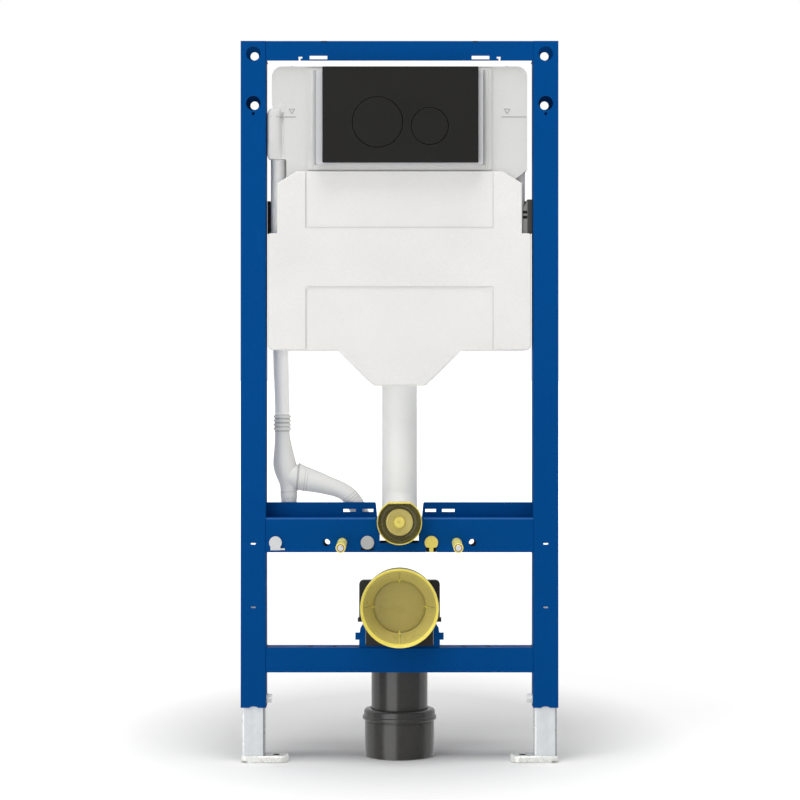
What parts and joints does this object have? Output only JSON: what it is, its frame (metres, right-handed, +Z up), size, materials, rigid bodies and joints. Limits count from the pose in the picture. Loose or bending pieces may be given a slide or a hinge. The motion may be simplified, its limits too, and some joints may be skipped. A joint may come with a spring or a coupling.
{
  "type": "wall hung toilet frame",
  "caption": "Pre-wall steel frame with a concealed flushing cistern, foam cover, flush plate and buttons, flush and waste bends, pan studs and telescoping feet",
  "frame": {"origin": "Middle of the back face of the top rail, which is held against the wall or its bracket.", "axes": "+X to the right seen from the front, +Y back towards the wall, +Z up; the front is -Y."},
  "size_m": [0.5, 0.2564, 1.136],
  "materials": {
    "blue_powder_coat": "satin powder coat",
    "galvanised_steel": "galvanised, dull",
    "zinc_plated_steel": "bright zinc",
    "grey_tank_plastic": "blow moulded, matt",
    "white_foam": "moulded bead foam",
    "surround_plastic": "satin",
    "black_plate": "fine matt lacquer",
    "black_plastic": "moulded, satin",
    "light_pipe_plastic": "moulded, satin",
    "black_pipe_plastic": "extruded, satin sheen",
    "yellow_plastic": "thin translucent moulding",
    "white_cap_plastic": "moulded",
    "grey_cap_plastic": "rough moulded"
  },
  "bodies": {
    "root": {"left_post": "blue_powder_coat", "right_post": "blue_powder_coat", "top_rail": "blue_powder_coat", "middle_rail": "blue_powder_coat", "lower_rail": "blue_powder_coat", "waste_bracket": "blue_powder_coat", "left_leg_screw": "zinc_plated_steel", "right_leg_screw": "zinc_plated_steel", "left_pan_stud": "zinc_plated_steel", "right_pan_stud": "zinc_plated_steel", "left_stud_nut": "zinc_plated_steel", "right_stud_nut": "zinc_plated_steel", "cistern_tank": "grey_tank_plastic", "insulation_cover": "white_foam", "plate_frame": "surround_plastic", "flush_plate": "black_plate", "left_tank_clip": "black_plastic", "right_tank_clip": "black_plastic", "flush_pipe": "light_pipe_plastic", "flush_bend": "light_pipe_plastic", "conduit_head": "light_pipe_plastic", "conduit_pipe": "light_pipe_plastic", "conduit_bellows": "light_pipe_plastic", "conduit_tee": "light_pipe_plastic", "conduit_branch": "light_pipe_plastic", "conduit_tail": "light_pipe_plastic", "waste_bend": "black_pipe_plastic", "waste_adaptor": "black_pipe_plastic", "waste_clamp": "black_plastic", "flush_cap": "yellow_plastic", "waste_plug": "yellow_plastic", "left_stud_sleeve": "yellow_plastic", "right_stud_sleeve": "yellow_plastic", "spare_plug": "yellow_plastic", "supply_cap": "white_cap_plastic", "branch_cap": "grey_cap_plastic"},
    "left_leg_body": {"left_leg": "galvanised_steel", "left_foot": "zinc_plated_steel"},
    "right_leg_body": {"right_leg": "galvanised_steel", "right_foot": "zinc_plated_steel"},
    "full_flush_button_body": {"full_flush_button": "black_plate"},
    "half_flush_button_body": {"half_flush_button": "black_plate"}
  },
  "joints": [
    {"name": "left_leg_slide", "type": "slide", "parent": "root", "child": "left_leg_body", "axis": [0, 0, -1], "range_m": [-0.07, 0.12]},
    {"name": "right_leg_slide", "type": "slide", "parent": "root", "child": "right_leg_body", "axis": [0, 0, -1], "range_m": [-0.07, 0.12]},
    {"name": "full_flush_press", "type": "slide", "parent": "root", "child": "full_flush_button_body", "axis": [0, 1, 0], "range_m": [0, 0.006], "stiffness_N_per_m": 600, "springref_m": -0.004},
    {"name": "half_flush_press", "type": "slide", "parent": "root", "child": "half_flush_button_body", "axis": [0, 1, 0], "range_m": [0, 0.006], "stiffness_N_per_m": 600, "springref_m": -0.004}
  ]
}
